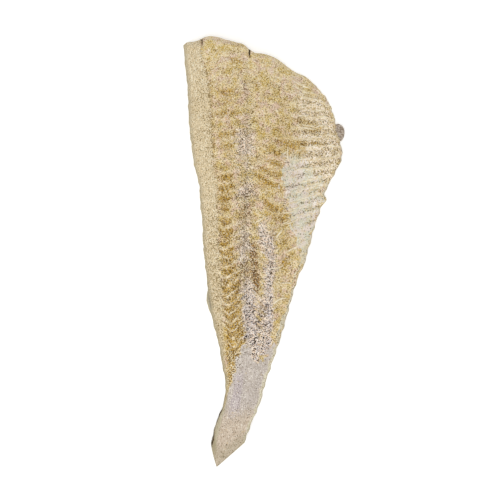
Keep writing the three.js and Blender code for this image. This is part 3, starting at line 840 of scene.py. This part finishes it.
def paint_at(at, flake, laid, pits, in_crack):
    """What the points carry for the material: finish shares, painted shade and highlight, and how many
    specks show.
    """
    x, y, across, along = at.x, at.y, at.across, at.along
    tail_gold = laid.gold * smoothstep(0.75, 0.78, along)
    midline = bell(across, MIDLINE, 0.12) * (1 - laid.smooth) * smoothstep(0.05, 0.2, along)
    seam = bell(across, 0.93, 0.07) * mix(1, 0.4, smoothstep(0.18, 0.3, along))
    # Painted gleams: streaks of extra pale specks on the silverskin, standing for its sheen catching light.
    gleams = smoothstep(0.2, 0.5, lumps(x, at.down_rows, (8, 1.6), 52)) * laid.silver
    dashes = smoothstep(0.05, 0.4, lumps(x, at.down_rows, (5, 1.9), 45))
    dashes = dashes * np.maximum(0.85 * laid.silver, 0.22 * laid.membrane) * mix(0.3, 1, flake.hollow)
    dashes = dashes * (1 - 0.7 * smoothstep(0.38, 0.46, along))
    # More pale specks on the lips and more dark ones in the hollows: partly the flakes' own banding, partly
    # painted highlight and shade on their relief.
    bands = flake.marked * np.cos(2 * np.pi * (flake.share - LIP_IN_FLAKE))
    shares = {
        **vars(laid),
        "everywhere": 1,
        "marked": flake.marked,
        # Pale specks on the lining's lips: partly a painted highlight.
        "membrane_lip": flake.lip * laid.membrane,
        "bands": bands * (1 + 1.5 * laid.membrane),
        "patchy": lumps(x, y, 6, 39),
        "gleams": gleams,
        "dashes": dashes,
        "tail_gold": tail_gold,
        "midline": midline,
        "bare_midline": midline * (1 - 0.8 * laid.crust),
        "seam": seam * (1 - smoothstep(0.4, 0.6, along)),
        "rear_strip": laid.strip * smoothstep(0.35, 0.5, along),
        "head": 1 - smoothstep(0.05, 0.15, along),
        "head_cut": 1 - smoothstep(0.04, 0.1, along),
        "tip": smoothstep(0.955, 0.99, along),
        "flakes": 0.1 + 0.3 * flake.marked * smoothstep(0.3, 0.6, along) + 0.35 * tail_gold,
    }
    streaks = (0.6 + 0.8 * lumps(at.from_right, y, (1.8, 16), 47)) * smoothstep(*PALE_EDGE_STARTS, along)
    right_edge = 1 - smoothstep(1, mix(9, 6, laid.smooth), at.from_right)
    left_edge = (1 - smoothstep(1.5, 4, at.from_left)) * laid.smooth
    edge_crumbs = 0.5 * (1 - smoothstep(0.4, 2.0, at.from_right)) * (1 - laid.smooth)
    edge_dashes = (1 - smoothstep(0.4, 1.1, at.from_left)) * np.interp(along, *TAIL_DASHES)
    # The lips are lighter: partly their own paler flesh, partly a painted highlight where the raised lips
    # catch light.
    bright = flake.lip * (1 - laid.smooth) * np.sqrt(flake.marked)
    bright = bright * (0.45 + 0.25 * flake.rear + 0.6 * lumps(x, y, 3, 49))
    bright = bright * (1 - 0.5 * laid.salt) * (1 - laid.silver) * (1 - 0.8 * laid.blotches)
    return {
        "strip": 0.8 * laid.strip,
        "membrane": 0.8 * laid.membrane,
        "gold": laid.gold * (1 - 0.8 * laid.crust),
        "amber": np.maximum(laid.amber, 0.85 * laid.brown),
        "silver": laid.silver,
        "smooth": laid.smooth,
        "lilac": region(LILAC, across, along, soft=0.3),
        "tip": 0.9 * smoothstep(*TIP_STARTS, along),
        "cream": left_edge + right_edge * np.maximum(0.8 * laid.smooth, streaks),
        "salt": laid.crust,
        "lip": np.maximum(bright, edge_crumbs),
        # Painted shade along the edges where the flesh rounds down, and darker over the tail's tip.
        "rim": 0.7 * (1 - smoothstep(0.5, 5, at.from_left))
        + 0.2 * (1 - smoothstep(0.3, 1.2, at.from_right))
        + 0.45 * smoothstep(0.955, 0.985, along),
        # Dashes and the torn tail edge are dark in themselves; in the pits and cracks the dark is painted
        # shade.
        "dark": np.maximum.reduce([0.8 * pits, in_crack * 1.0, 0.3 * dashes, edge_dashes]),
        "pale_specks": weighed(PALE_SPECKS, shares),
        "dark_specks": weighed(DARK_SPECKS, shares),
        "bold": np.maximum.reduce([weight * shares[name] for name, weight in BOLDNESS.items()]),
    }


def flesh_surface():
    """The flesh's face as rows from the head and columns from the back: where its points lie and what they
    carry for the material."""
    columns, rows = flesh_columns(), flesh_rows()
    row_along, across = np.meshgrid(rows, columns, indexing="ij")
    along = along_in_flake(across, row_along)
    x, y, _, width = plan_at(across, along)
    flake = flakes_at(x, y, across, along, row_along)
    x, y, share_across, width = plan_at(*drawn_in(across, along, width, FLESH_INSET))
    at = SimpleNamespace(
        x=x,
        y=y,
        across=across,
        along=along,
        row_along=row_along,
        down_rows=row_along * BACK_LENGTH,
        from_left=share_across * width,
        from_right=(1 - share_across) * width,
    )
    laid = finishes_at(at, flake)
    at.x, top, lift, pits, in_crack = heights_at(at, flake, laid)
    return SimpleNamespace(
        columns=columns,
        rows=rows,
        x=at.x,
        y=y,
        top=top,
        lift=lift,
        lip_share=flake.lip,
        finish=paint_at(at, flake, laid, pits, in_crack),
    )


def make_flesh(surface):
    last_row, last_column = len(surface.rows) - 1, len(surface.columns) - 1
    piece, column, row, layer = slab("dried_flesh", last_column, last_row, FLESH_LAYERS)
    x, y, top, lift = (grid[row, column] for grid in (surface.x, surface.y, surface.top, surface.lift))

    # The side falls from the rim to the skin, swelling and crumbling a little.
    down = 1 - layer / FLESH_LAYERS
    z = mix(top, lift + UNDER_FLESH, down)
    between = (down > 0) & (down < 1)
    swell = 0.5 * np.sin(np.pi * down) + 0.35 * lumps(x + z, y + z, 2.5, 36) * between
    out_x = (column == last_column) * 1.0 - (column == 0) * 1.0
    out_y = (row == 0) * 1.0 - (row == last_row) * 1.0
    place_points(piece, x + out_x * swell * (down > 0), y + out_y * swell * (down > 0), z)
    finish = {name: grid[row, column] for name, grid in surface.finish.items()}
    paint(piece, **finish, pale=0.9 * (down > 0))

    # The flesh's flat underside, hidden on the skin, keeps only a few faces.
    with_nothing_selected(piece, "FACE")
    under = (layer == 0) & (column > 0) & (column < last_column) & (row > 0) & (row < last_row)
    corners = np.empty(len(piece.data.loops), np.int32)
    piece.data.loops.foreach_get("vertex_index", corners)
    piece.data.polygons.foreach_set("select", under[corners].reshape(-1, 4).all(1))
    bpy.ops.object.mode_set(mode="EDIT")
    bpy.ops.mesh.decimate(ratio=HIDDEN_FACES_KEPT)
    bpy.ops.object.mode_set(mode="OBJECT")
    finished(piece, dried_flesh_material())


# ---- What lies on the flesh ----
def on_surface(surface, column, row):
    """Places between the surface's points, at fractional columns and rows: millimetres, and the way up."""
    column = np.clip(column, 0, len(surface.columns) - 1.001)
    row = np.clip(row, 0, len(surface.rows) - 1.001)
    j, i = column.astype(int), row.astype(int)
    t, s = (column - j)[..., None], (row - i)[..., None]
    points = np.stack([surface.x, surface.y, surface.top], -1)
    a, b, c, d = points[i, j], points[i, j + 1], points[i + 1, j], points[i + 1, j + 1]
    up = np.cross(b - c, a - d)
    up = up * np.sign(up[..., 2:])
    return mix(mix(a, b, t), mix(c, d, t), s), up / np.linalg.norm(up, axis=-1, keepdims=True)


def joined_mesh(name, points, faces):
    """One piece from points in millimetres of the plan, and faces as lists of their numbers."""
    mesh = bpy.data.meshes.new(name)
    mesh.from_pydata(((points + ORIGIN) * MM).tolist(), [], faces)
    piece = bpy.data.objects.new(name, mesh)
    bpy.context.collection.objects.link(piece)
    return piece


def make_salt_grains(surface):
    """Grains of coarse salt: little blocks, thickest on the salt crust and on the lips of the flakes."""
    rng = np.random.default_rng(71)
    finish = surface.finish
    density = (
        0.06
        + 0.5 * finish["salt"]
        + 0.6 * finish["lip"] * surface.lip_share
        + 0.4 * finish["membrane"]
        + 0.1 * finish["silver"]
    )
    density = density * (1 - 0.9 * finish["smooth"]) * (0.7 + 0.6 * lumps(surface.x, surface.y, 9, 72))
    cells = np.clip(density, 0, None)[:-1, :-1] * np.abs(
        np.diff(surface.x, axis=1)[:-1] * np.diff(surface.y, axis=0)[:, :-1]
    )
    chosen = rng.choice(cells.size, SALT_GRAINS, p=(cells / cells.sum()).ravel())
    row, column = np.unravel_index(chosen, cells.shape)
    at, up = on_surface(surface, column + rng.random(SALT_GRAINS), row + rng.random(SALT_GRAINS))

    size = rng.uniform(*GRAIN_SIZE, (SALT_GRAINS, 1)) * rng.uniform(0.6, 1, (SALT_GRAINS, 3))
    block = np.array([[x, y, z] for x in (-0.5, 0.5) for y in (-0.5, 0.5) for z in (-0.5, 0.5)])
    corners = block[None] * size[:, None] * rng.uniform(0.8, 1.15, (SALT_GRAINS, 8, 1))
    turned, _ = np.linalg.qr(rng.normal(size=(SALT_GRAINS, 3, 3)))
    turned[:, :, 0] *= np.sign(np.linalg.det(turned))[:, None]
    corners = np.einsum("nij,nkj->nki", turned, corners) + (at + 0.1 * up)[:, None]
    sides = np.array([[0, 1, 3, 2], [4, 6, 7, 5], [0, 4, 5, 1], [2, 3, 7, 6], [0, 2, 6, 4], [1, 5, 7, 3]])
    faces = (np.arange(SALT_GRAINS)[:, None, None] * 8 + sides[None]).reshape(-1, 4)
    piece = joined_mesh("salt_grains", corners.reshape(-1, 3), faces.tolist())
    paint(piece, crusted=np.repeat(finish["salt"][row, column], 8))
    finished(piece, salt_crystal_material(), replaces=False, smooth=False)


def strand(surface, route, radius, rng):
    """A thin flattened cord laid over the flesh along [across, along in the flakes] places."""
    route = np.asarray(route, float)
    steps = np.linspace(0, len(route) - 1, STRAND_STEPS * len(route))
    across = np.interp(steps, np.arange(len(route)), route[:, 0])
    along = np.interp(steps, np.arange(len(route)), route[:, 1])
    across = across + 0.012 * lumps(steps * 5, steps * 0 + radius * 90, 4, 81)
    along = along + 0.0012 * lumps(steps * 5, steps * 0 + radius * 90, 3, 82)
    column = np.interp(across, surface.columns, np.arange(len(surface.columns)))
    row = np.interp(along, surface.rows, np.arange(len(surface.rows)))
    at, up = on_surface(surface, column, row)
    ahead = np.gradient(at, axis=0)
    ahead /= np.linalg.norm(ahead, axis=1, keepdims=True)
    beside = np.cross(ahead, up)
    taper = radius * np.sqrt(np.clip(np.sin(np.pi * np.linspace(0.03, 0.97, len(steps))), 0.1, 1))
    turn = np.linspace(0, 2 * np.pi, STRAND_SIDES, endpoint=False)
    ring = np.cos(turn)[None, :, None] * beside[:, None] + 0.6 * np.sin(turn)[None, :, None] * up[:, None]
    radii = taper * rng.uniform(0.8, 1.2, len(steps))
    points = at[:, None] + 0.15 * up[:, None] + ring * radii[:, None, None]
    k = np.arange(len(steps) - 1)[:, None] * STRAND_SIDES
    side = np.arange(STRAND_SIDES)[None]
    after = (side + 1) % STRAND_SIDES
    faces = np.stack([k + side, k + after, k + STRAND_SIDES + after, k + STRAND_SIDES + side], -1)
    return points.reshape(-1, 3), faces.reshape(-1, 4).tolist()


def make_strands(surface):
    """Torn strands of the belly lining: some along the flakes over the ribs, some single."""
    rng = np.random.default_rng(91)
    routes = [*SINGLE_STRANDS]
    for flake in RIB_FLAKES:
        for _ in range(STRANDS_PER_FLAKE):
            start = rng.uniform(3.0, 3.75)
            end = min(3.97, start + rng.uniform(0.12, 0.4))
            lip = through(FLAKE_PLACES, np.array([flake + rng.uniform(0.55, 1.05)]))[0]
            middle = lip + rng.uniform(-0.004, 0.004)
            last = lip + rng.uniform(-0.003, 0.003)
            routes.append([[start, lip], [(start + end) / 2, middle], [end, last]])
    all_points, all_faces, count = [], [], 0
    for number, route in enumerate(routes):
        size = SINGLE_STRAND_SIZE if number < len(SINGLE_STRANDS) else 1
        points, faces = strand(surface, route, size * rng.uniform(*STRAND_RADIUS), rng)
        last = len(points) - STRAND_SIDES
        ends = [list(range(STRAND_SIDES))[::-1], list(range(last, last + STRAND_SIDES))]
        all_faces += [[v + count for v in face] for face in [*faces, *ends]]
        all_points.append(points)
        count += len(points)
    piece = joined_mesh("membrane_strands", np.concatenate(all_points), all_faces)
    select_alone(piece)
    bpy.ops.object.mode_set(mode="EDIT")
    bpy.ops.mesh.select_all(action="SELECT")
    bpy.ops.mesh.normals_make_consistent(inside=False)
    bpy.ops.object.mode_set(mode="OBJECT")
    finished(piece, membrane_material(), replaces=False)


def make_fin_stub():
    """The dried stub of the fin that stands out of the belly edge: a ridged, wrinkled lump."""
    bpy.ops.object.select_all(action="DESELECT")
    bpy.ops.mesh.primitive_uv_sphere_add(segments=48, ring_count=32, radius=0.5)
    piece = bpy.context.object
    piece.name = piece.data.name = "fin_stub"
    at = np.empty(len(piece.data.vertices) * 3, np.float32)
    piece.data.vertices.foreach_get("co", at)
    at = at.reshape(-1, 3)
    lump = at * np.array(FIN_SIZE)
    rays = FIN_RAYS * np.sin(lump[:, 1] * 2 * np.pi / FIN_RAY_GAP + 0.3 * lump[:, 0])
    rays = rays * smoothstep(0, 0.4, np.abs(at[:, 2]))
    rough = 0.5 * lumps(lump[:, 0] + lump[:, 2], lump[:, 1] - lump[:, 2], 3.1, 95)
    out = at / np.linalg.norm(at, axis=1, keepdims=True)
    lump = lump + out * (rays + rough)[:, None]
    x, y, _, _ = plan_at(np.array([float(BELLY_EDGE)]), np.array([FIN_ALONG]))
    place_points(piece, lump[:, 0] + x + FIN_OUT, lump[:, 1] + y, lump[:, 2] + FIN_HEIGHT)
    finished(piece, fin_material())


# ---- The skin ----
def make_skin():
    inner = np.linspace(0.04, 0.96, SKIN_COLUMNS)
    columns = np.concatenate([[0, SKIN_RIM_SHARE], inner, [1 - SKIN_RIM_SHARE, 1]]) * BELLY_EDGE
    rows = np.concatenate([[0, 0.005], np.linspace(0.012, 0.988, SKIN_ROWS), [0.995, 1]])
    piece, column, row, layer = slab("scaled_skin", len(columns) - 1, len(rows) - 1, 1)
    across, along = columns[column], rows[row]
    _, _, _, width = plan_at(across, along)
    at_left, at_right = column == 0, column == len(columns) - 1
    at_head, at_tail = row == 0, row == len(rows) - 1
    at_rim = at_left | at_right | at_head | at_tail
    fold = lobes(SKIN_FOLDS, along) * at_left
    outset = np.where(at_rim, SKIN_OUTSET * (1 + 0.5 * lumps(across * 40, along * 440, 6, 51)) + fold, 0)
    out_across, out_along = drawn_in(across, along, width, -outset)
    x, y, _, _ = plan_at(np.clip(out_across, 0, BELLY_EDGE), np.clip(out_along, 0, 1))
    x = x + at_right * outset - at_left * outset
    y = y + at_head * outset - at_tail * outset
    wrinkle = 0.06 * np.abs(lumps(x, y, (3, 12), 52))
    under = lift_at(across, along) + np.where(at_rim, SKIN_RISE, wrinkle)
    z = under + layer * SKIN_THICKNESS
    place_points(piece, x, y, z)
    lateral = bell(across, mix(1.25, 1.9, smoothstep(0.1, 0.5, along)), 0.045)
    paint(
        piece,
        pale=smoothstep(2.4, 3.3, across + 0.2 * lumps(x, y, 14, 53)),
        line=lateral,
        edge=at_rim * 1.0,
        dark=at_left * smoothstep(0.885, 0.9, along) * (0.6 + 0.6 * lumps(x, y, 7, 54)),
    )
    finished(piece, scaled_skin_material())


# ---- Stage, light and camera ----
PICTURE_WIDTH = 559.5 * MM  # what the picture spans at the fish
CAMERA_HEIGHT = 3.0
SENSOR = 36.0
VIEW_CENTRE = (-15.57, 2.1)  # in the fish's plan


def make_stage():
    bpy.ops.object.select_all(action="DESELECT")
    bpy.ops.mesh.primitive_plane_add(size=8)
    floor = bpy.context.object
    floor.name = "floor"
    floor.data.materials.append(floor_material())


def softbox(name, size, place, power):
    """A square lamp that faces the fish."""
    bpy.ops.object.light_add(type="AREA", location=place)
    lamp = bpy.context.object
    lamp.name = name
    lamp.data.shape = "SQUARE"
    lamp.data.size = size
    lamp.data.energy = power
    x, y, z = place
    lamp.rotation_euler = (math.atan2(math.hypot(x, y), z), 0, math.atan2(-x, y) + math.pi)


def make_light():
    softbox("key_softbox", size=1.2, place=(-1.3, -1.7, 1.9), power=24)
    softbox("overhead_softbox", size=2.4, place=(0.2, -0.2, 2.6), power=20)
    world = bpy.data.worlds.new("studio")
    world.use_nodes = True
    world.node_tree.nodes["Background"].inputs["Color"].default_value = (1, 1, 1, 1)
    world.node_tree.nodes["Background"].inputs["Strength"].default_value = 0.6
    bpy.context.scene.world = world
    bpy.context.scene.view_settings.view_transform = "Standard"


def make_camera():
    x, y = (ORIGIN[:2] + VIEW_CENTRE) * MM
    bpy.ops.object.camera_add(location=(x, y, CAMERA_HEIGHT), rotation=(0, 0, 0))
    camera = bpy.context.object
    camera.data.sensor_width = SENSOR
    camera.data.lens = SENSOR * CAMERA_HEIGHT / PICTURE_WIDTH
    camera.data.clip_end = 20
    bpy.context.scene.camera = camera


flesh_face = flesh_surface()
make_flesh(flesh_face)
make_skin()
make_salt_grains(flesh_face)
make_strands(flesh_face)
make_fin_stub()
make_stage()
make_light()
make_camera()
